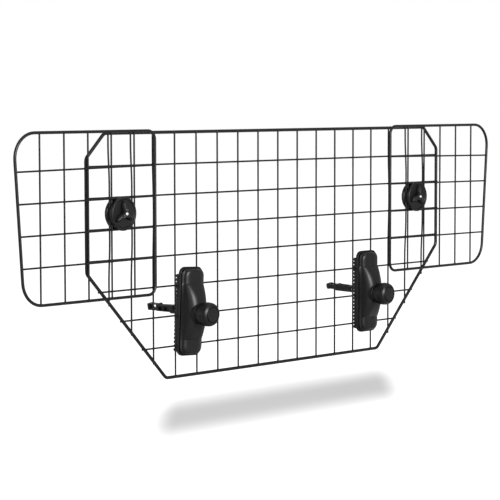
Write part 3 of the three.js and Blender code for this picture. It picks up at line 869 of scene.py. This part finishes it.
recess_core = 0.1
recess_radius = 2.1
arm_share = 0.35
axis_radius = 0.0005
screw_profile = [
    (axis_radius, recess_floor, 0), (1.5, recess_floor, 0), (2.0, screw_top - 0.1, 0.1),
    (2.6, screw_top, 0.4), (3.4, screw_top - 0.4, 0.5), (3.7, tooth_root - 0.1, 0.1),
    (3.7, tooth_root - 1.8, 0), (axis_radius, tooth_root - 1.8, 0),
]


def rounded_outline(half_x, half_z, corner):
    """A rectangle with round corners, as points (x, z)."""
    points = []
    for along, up, start in ((1, 1, 0), (-1, 1, 90), (-1, -1, 180), (1, -1, 270)):
        for step in range(corner_steps + 1):
            angle = math.radians(start + 90 * step / corner_steps)
            x = (half_x - corner) * along + corner * math.cos(angle)
            points.append((x, (half_z - corner) * up + corner * math.sin(angle)))
    return points


def outline_ring(half_x, half_z, corner, y, matrix):
    """One such outline at its depth on a bracket."""
    outline = rounded_outline(half_x, half_z, corner)
    return [matrix @ Vector((x, y, z + jaw_rise)) for x, z in outline]


def jaw_plate(name, matrix):
    """The plate with its rounded rims, and the hole for the stud left open through it.

    A rim is (place along the stud, how far it is drawn in).
    """
    half_x, half_z = jaw_half
    rings = [
        outline_ring(half_x - inset, half_z - inset, jaw_corner - inset, y, matrix)
        for y, inset in jaw_rims
    ]
    inset = jaw_rims[0][1]
    outline = rounded_outline(half_x - inset, half_z - inset, jaw_corner - inset)
    bearings = [math.atan2(z + jaw_rise, x) for x, z in outline]
    for y in (channel_floor, tooth_root):
        rings.append([matrix @ around(jaw_bore, y, angle) for angle in bearings])
    plate = ring_mesh(name, rings, hollow=True)
    return shown(name, plate, crease=50.0, surface=moulded_plastic)


def tooth_row_tree():
    """A row of copies of one tooth, their number and spacing given from outside."""
    inputs = {
        "Geometry": "Geometry", "Tooth": "Object", "Count": "Int", "Step": "Vector",
        "Finish": "Material",
    }
    tree, keys, entry, leave = new_tree(
        "tooth_row", "GeometryNodeTree", inputs, {"Geometry": "Geometry"},
    )
    row = new_node(tree, "GeometryNodeMeshLine")
    tooth = new_node(tree, "GeometryNodeObjectInfo")
    spread = new_node(tree, "GeometryNodeInstanceOnPoints")
    wire_up(
        tree,
        (entry, "Tooth", tooth, "Object"), (entry, "Count", row, "Count"),
        (entry, "Step", row, "Offset"), (row, "Mesh", spread, "Points"),
        (tooth, "Geometry", spread, "Instance"),
    )
    end_painted(tree, spread, "Instances", entry, leave)
    return tree, keys


def cross_recess(r, y, angle):
    """Draws the middle of a screw head in to a cross."""
    if not recess_core < r < recess_radius:
        return r
    return r * (arm_share + (1 - arm_share) * abs(math.cos(2 * angle)) ** 3)


teeth_tree, teeth_keys = tooth_row_tree()
tooth_rings = [[Vector((x, y, z)) for y, z in tooth_side] for x in (-tooth_half, tooth_half)]
tooth = linked("tooth", ring_mesh("tooth", tooth_rings))
teeth_values = {
    "Tooth": tooth, "Count": tooth_count, "Step": (0.0, 0.0, tooth_pitch * mm),
    "Finish": moulded_plastic,
}
for name, matrix in bracket_places.items():
    body = name + "_bracket"
    plate = jaw_plate(name + "_toothed_plate", matrix)
    placed(plate, body, "black_plastic", name + "_jaw_plate")
    for word, x in tooth_rows:
        row = bpy.data.meshes.new("row")
        row_name = f"{name}_{word}_tooth_row"
        teeth = baked(row_name, row, teeth_tree, teeth_keys, teeth_values, crease=20.0)
        foot = matrix @ Matrix.Translation((x, tooth_root, first_tooth))
        place = Matrix.Translation(foot.translation * mm)
        teeth.data.transform(place @ foot.to_3x3().to_4x4())
        placed(teeth, body, "black_plastic")
bpy.data.objects.remove(tooth)

for name, matrix in bracket_places.items():
    for word, height in screw_heights:
        place = matrix @ Vector((0.0, 0.0, jaw_rise + height))
        head = turned(
            f"{name}_{word}_screw_head", screw_profile, place, screw_sides, zinc_plate,
            cross_recess, matrix.to_3x3(),
        )
        placed(head, name + "_bracket", "zinc_steel")

# Housings
# A smooth moulded cover over the plate, set in a little all round. It swells in the middle
# behind a fine crease, and a round boss under the knob carries the stud.
housing_back = jaw_front - 0.3
housing_start = housing_back - 2.6
housing_half = 25.2
housing_tall = 70.3
housing_front_half = 21.4
housing_corner = 13.0
end_depth = 7.0
middle_depth = 22.8
crease_step = 0.9
crease_run = 2.0
crease_widening = 0.3
swell_half = 46.5
swell_height = middle_depth - end_depth - crease_step
swell_arc = (swell_half ** 2 + swell_height ** 2) / (2 * swell_height)
swell_widening = 1.0
swell_rounding = 6.5
plan_round = 12.0
edge_round = 4.6
edge_steps = 8
arc_steps = 9
corner_limit = 0.95
corner_depth = 0.82
end_rows = (5.6, 7.0, 9.0, 12.0, 16.0, 20.0, 24.0)
crease_rows = (0.9, 0.0, -0.5, -1.0, -1.5, -2.0)
swell_start = swell_half - 3.0
swell_rows = 15
lip_inset = 4.6
lip_corner = 8.0
lip_back = jaw_front + 2.6
lip_front = housing_start - 0.4
boss_bore = 4.1
boss_radius = 20.6
boss_back = -20.0
boss_front = -40.4
boss_sides = 72
boss_profile = [
    (boss_bore, boss_back, 0), (boss_radius, boss_back, 0), (boss_radius, -26.0, 2.0),
    (18.2, boss_front, 0.8), (boss_bore, boss_front, 0.3),
]


def round_drop(from_end, radius):
    """How far a quarter round of this radius falls short, this near to the end."""
    inside = max(radius - from_end, 0.0)
    return radius - math.sqrt(max(radius ** 2 - inside ** 2, 0.0))


def housing_section(z):
    """Half width at the back and front, depth and corner radius of the cover at a height."""
    from_middle = abs(z)
    front_half = housing_front_half
    depth = end_depth
    corner = housing_corner
    if from_middle < swell_half:
        swell = math.sqrt(swell_arc ** 2 - from_middle ** 2) - (swell_arc - swell_height)
        start = min((swell_half - from_middle) / crease_run, 1.0)
        depth += crease_step * eased(start) + swell
        front_half += crease_widening * start + swell_widening * swell / swell_height
        corner += swell_rounding * swell / swell_height
    from_end = housing_tall - from_middle
    plan_drop = round_drop(from_end, plan_round)
    depth -= round_drop(from_end, edge_round)
    return housing_half - plan_drop, front_half - plan_drop, depth, corner


def cover_ring(z):
    """The cover's outline at a height: straight back, round corners, flat front."""
    back_half, front_half, depth, corner = housing_section(z)
    front_y = housing_start - depth
    radius = min(corner, front_half * corner_limit)
    drop = depth * corner_depth
    flat = front_half - radius
    turns = [step / arc_steps * math.pi / 2 for step in range(arc_steps + 1)]
    ring = [(-back_half, housing_start)]
    for angle in turns:
        ring.append((-flat - radius * math.cos(angle), front_y + drop - drop * math.sin(angle)))
    for step in (-2, -1, 0, 1, 2):
        ring.append((flat * step / 3, front_y))
    for angle in turns:
        ring.append((flat + radius * math.sin(angle), front_y + drop - drop * math.cos(angle)))
    ring.append((back_half, housing_start))
    return [(x, y, z + jaw_rise) for x, y in ring]


def cover(name, matrix):
    """The cover, as rings from its upper end to its lower end, closer where it turns."""
    heights = []
    for step in range(edge_steps + 1):
        angle = step / edge_steps * math.pi / 2
        heights.append(housing_tall - edge_round * (1 - math.cos(angle)))
    heights += [housing_tall - drop for drop in end_rows]
    heights += [swell_half + rise for rise in crease_rows]
    heights += [swell_start * (1 - step / swell_rows) for step in range(swell_rows)]
    heights = heights + [0.0] + [-height for height in reversed(heights)]
    rings = [[matrix @ Vector(p) for p in cover_ring(z)] for z in heights]
    return shown(name, ring_mesh(name, rings), crease=55.0, surface=moulded_plastic)


def parting_lip(name, matrix):
    """The recessed band between plate and cover, which shows as a dark parting line."""
    half_x = housing_half - lip_inset
    half_z = housing_tall - lip_inset
    rings = [outline_ring(half_x, half_z, lip_corner, y, matrix) for y in (lip_back, lip_front)]
    return shown(name, ring_mesh(name, rings), crease=30.0, surface=moulded_plastic)


for name, matrix in bracket_places.items():
    body = name + "_bracket"
    placed(cover(name + "_cover", matrix), body, "black_plastic", name + "_housing")
    placed(parting_lip(name + "_parting_lip", matrix), body, "black_plastic")
    boss = turned(
        name + "_boss", boss_profile, matrix.translation, boss_sides, moulded_plastic,
        turn=matrix.to_3x3(),
    )
    placed(boss, body, "black_plastic")

# Knobs
# A round moulded knob flares out from the boss to a short barrel with shallow flats for
# the fingers. A flat cap is pressed into its face, and a nut sits in its back.
knob_back = -40.7
knob_front = knob_back - 26.0
knob_bore = 4.3
knob_sides = 120
knob_radius = 20.0
flare_length = 9.0
cap_floor = knob_front + 2.6
cap_seat_radius = 13.9
cap_radius = 12.3
cap_sides = 72
finger_count = 10
flats_inner_radius = 16.0
flats_from = 0.25
flats_to = 1.12
flats_fade = 0.1
flats_depth = 0.75
knob_profile = [
    (knob_bore, knob_back, 0), (17.6, knob_back, 0.4),
    (knob_radius, knob_back - flare_length, 1.2), (knob_radius, knob_back - 13.0, 5.0),
    (19.5, knob_back - 19.5, 4.0), (17.8, knob_back - 23.4, 2.5),
    (14.2, knob_front + 0.3, 0.8), (cap_seat_radius, knob_front + 0.3, 0.1),
    (cap_seat_radius, cap_floor, 0), (knob_bore, cap_floor, 0),
]
cap_profile = [
    (axis_radius, cap_floor - 0.1, 0), (cap_radius, cap_floor - 0.1, 0),
    (cap_radius, knob_front + 0.1, 0.4), (axis_radius, knob_front + 0.1, 0),
]


def finger_flats(r, y, angle):
    """Shallow flats round the flare, which fade out before the barrel."""
    along = (knob_back - y) / flare_length
    if r < flats_inner_radius or not flats_from <= along <= flats_to:
        return r
    sector = math.tau / finger_count
    within = (angle % sector) - sector / 2
    flat = r * math.cos(sector / 2) / math.cos(within)
    fade = min((along - flats_from) / flats_fade, 1.0) * min((flats_to - along) / flats_fade, 1.0)
    return r - (r - flat) * flats_depth * fade


for name, matrix in bracket_places.items():
    body = name + "_bracket_knob"
    middle = matrix.translation
    turn = matrix.to_3x3()
    knob = turned(
        name + "_round_knob", knob_profile, middle, knob_sides, moulded_plastic, finger_flats,
        turn, crease=28.0,
    )
    placed(knob, body, "black_plastic", name + "_knob")
    cap = turned(name + "_flat_cap", cap_profile, middle, cap_sides, moulded_plastic, turn=turn)
    placed(cap, body, "black_plastic", name + "_knob_cap")

# Hooks and studs
# Each hook is a ribbed nylon arm on the end of its stud. A narrow neck behind a rounded
# head leaves the throat for the headrest post, and a thin tongue closes it part of the way.
stud_run = (-48.0, 29.0)
right_tilt = 2.5
tilt_pivot = Vector((0.0, -43.5, 0.0))
edge_softening = 0.35
edge_angle = 40.0
flat_angle = 1.0
arm_merge = 1e-6
for name, matrix in bracket_places.items():
    turn = matrix.to_3x3()
    place = matrix.translation.copy()
    if name == "right":
        tilt = Matrix.Rotation(math.radians(right_tilt), 3, "X")
        place = place + turn @ (tilt_pivot - tilt @ tilt_pivot)
        turn = turn @ tilt
    stud = threaded_rod(name + "_threaded_stud", *stud_run, place, turn)
    placed(stud, name + "_tie", "zinc_steel", name + "_stud")

    arm = nodes[name + "_hook"].data.copy()
    shape = bmesh.new()
    shape.from_mesh(arm)
    bmesh.ops.remove_doubles(shape, verts=shape.verts, dist=arm_merge)
    bmesh.ops.dissolve_limit(
        shape, angle_limit=math.radians(flat_angle), verts=shape.verts, edges=shape.edges,
    )
    shape.to_mesh(arm)
    shape.free()
    source = linked(name + "_arm_source", arm)
    soften_edges = source.modifiers.new("edges", "BEVEL")
    soften_edges.width = edge_softening * mm
    soften_edges.segments = 2
    soften_edges.limit_method = "ANGLE"
    soften_edges.angle_limit = math.radians(edge_angle)
    hook = shown(
        name + "_ribbed_hook", plain_mesh(source), crease=35.0, surface=moulded_plastic,
    )
    placed(hook, name + "_hook_arm", "black_plastic", name + "_hook")
